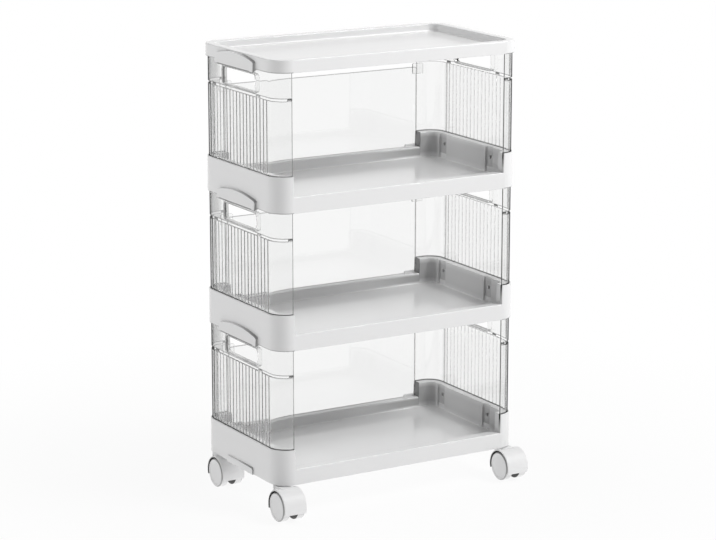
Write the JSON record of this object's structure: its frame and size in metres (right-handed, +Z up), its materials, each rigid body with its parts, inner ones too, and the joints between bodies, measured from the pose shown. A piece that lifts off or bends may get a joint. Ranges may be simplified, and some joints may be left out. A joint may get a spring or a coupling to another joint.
{
  "type": "rolling storage cart",
  "caption": "Slim rolling storage cart with white trays, clear ribbed side walls with hand holes, clear backs and swivel casters.",
  "frame": {"origin": "on the floor, under the middle of the whole footprint, casters trailing to the front", "axes": "+Z up, the open front faces -Y, +X to the right as seen from the front"},
  "size_m": [0.416, 0.254, 0.6575],
  "materials": {
    "tray_white": "satin white moulded plastic",
    "clear_panel": "clear polished moulded plastic",
    "caster_white": "satin white moulded plastic",
    "wheel_white": "fine matt white moulded plastic",
    "steel": "bright turned steel"
  },
  "bodies": {
    "cart": {"base_tray": "tray_white", "lower_shelf_tray": "tray_white", "upper_shelf_tray": "tray_white", "top_tray": "tray_white", "bottom_left_side_panel": "clear_panel", "bottom_left_handle_panel": "clear_panel", "bottom_right_side_panel": "clear_panel", "bottom_right_handle_panel": "clear_panel", "bottom_back_panel": "clear_panel", "bottom_left_back_clip": "clear_panel", "bottom_right_back_clip": "clear_panel", "middle_left_side_panel": "clear_panel", "middle_left_handle_panel": "clear_panel", "middle_right_side_panel": "clear_panel", "middle_right_handle_panel": "clear_panel", "middle_back_panel": "clear_panel", "middle_left_back_clip": "clear_panel", "middle_right_back_clip": "clear_panel", "top_left_side_panel": "clear_panel", "top_left_handle_panel": "clear_panel", "top_right_side_panel": "clear_panel", "top_right_handle_panel": "clear_panel", "top_back_panel": "clear_panel", "top_left_back_clip": "clear_panel", "top_right_back_clip": "clear_panel", "front_left_caster_stem": "steel", "front_left_caster_grip_ring": "steel", "front_right_caster_stem": "steel", "front_right_caster_grip_ring": "steel", "rear_left_caster_stem": "steel", "rear_left_caster_grip_ring": "steel", "rear_right_caster_stem": "steel", "rear_right_caster_grip_ring": "steel"},
    "front_left_swivel_body": {"front_left_caster_hood": "caster_white", "front_left_caster_axle": "steel"},
    "front_left_outer_wheel_body": {"front_left_caster_outer_wheel": "wheel_white"},
    "front_left_inner_wheel_body": {"front_left_caster_inner_wheel": "wheel_white"},
    "front_right_swivel_body": {"front_right_caster_hood": "caster_white", "front_right_caster_axle": "steel"},
    "front_right_outer_wheel_body": {"front_right_caster_outer_wheel": "wheel_white"},
    "front_right_inner_wheel_body": {"front_right_caster_inner_wheel": "wheel_white"},
    "rear_left_swivel_body": {"rear_left_caster_hood": "caster_white", "rear_left_caster_axle": "steel"},
    "rear_left_outer_wheel_body": {"rear_left_caster_outer_wheel": "wheel_white"},
    "rear_left_inner_wheel_body": {"rear_left_caster_inner_wheel": "wheel_white"},
    "rear_right_swivel_body": {"rear_right_caster_hood": "caster_white", "rear_right_caster_axle": "steel"},
    "rear_right_outer_wheel_body": {"rear_right_caster_outer_wheel": "wheel_white"},
    "rear_right_inner_wheel_body": {"rear_right_caster_inner_wheel": "wheel_white"}
  },
  "joints": [
    {"name": "front_left_swivel", "type": "hinge", "parent": "cart", "child": "front_left_swivel_body", "pos_m": [-0.189, -0.0805, 0.04], "axis": [0, 0, 1], "continuous": true},
    {"name": "front_left_outer_wheel_spin", "type": "hinge", "parent": "front_left_swivel_body", "child": "front_left_outer_wheel_body", "pos_m": [-0.189, -0.102, 0.021], "axis": [1, 0, 0], "continuous": true},
    {"name": "front_left_inner_wheel_spin", "type": "hinge", "parent": "front_left_swivel_body", "child": "front_left_inner_wheel_body", "pos_m": [-0.189, -0.102, 0.021], "axis": [1, 0, 0], "continuous": true},
    {"name": "front_right_swivel", "type": "hinge", "parent": "cart", "child": "front_right_swivel_body", "pos_m": [0.189, -0.0805, 0.04], "axis": [0, 0, 1], "continuous": true},
    {"name": "front_right_outer_wheel_spin", "type": "hinge", "parent": "front_right_swivel_body", "child": "front_right_outer_wheel_body", "pos_m": [0.189, -0.102, 0.021], "axis": [1, 0, 0], "continuous": true},
    {"name": "front_right_inner_wheel_spin", "type": "hinge", "parent": "front_right_swivel_body", "child": "front_right_inner_wheel_body", "pos_m": [0.189, -0.102, 0.021], "axis": [1, 0, 0], "continuous": true},
    {"name": "rear_left_swivel", "type": "hinge", "parent": "cart", "child": "rear_left_swivel_body", "pos_m": [-0.189, 0.1065, 0.04], "axis": [0, 0, 1], "continuous": true},
    {"name": "rear_left_outer_wheel_spin", "type": "hinge", "parent": "rear_left_swivel_body", "child": "rear_left_outer_wheel_body", "pos_m": [-0.189, 0.085, 0.021], "axis": [1, 0, 0], "continuous": true},
    {"name": "rear_left_inner_wheel_spin", "type": "hinge", "parent": "rear_left_swivel_body", "child": "rear_left_inner_wheel_body", "pos_m": [-0.189, 0.085, 0.021], "axis": [1, 0, 0], "continuous": true},
    {"name": "rear_right_swivel", "type": "hinge", "parent": "cart", "child": "rear_right_swivel_body", "pos_m": [0.189, 0.1065, 0.04], "axis": [0, 0, 1], "continuous": true},
    {"name": "rear_right_outer_wheel_spin", "type": "hinge", "parent": "rear_right_swivel_body", "child": "rear_right_outer_wheel_body", "pos_m": [0.189, 0.085, 0.021], "axis": [1, 0, 0], "continuous": true},
    {"name": "rear_right_inner_wheel_spin", "type": "hinge", "parent": "rear_right_swivel_body", "child": "rear_right_inner_wheel_body", "pos_m": [0.189, 0.085, 0.021], "axis": [1, 0, 0], "continuous": true}
  ]
}
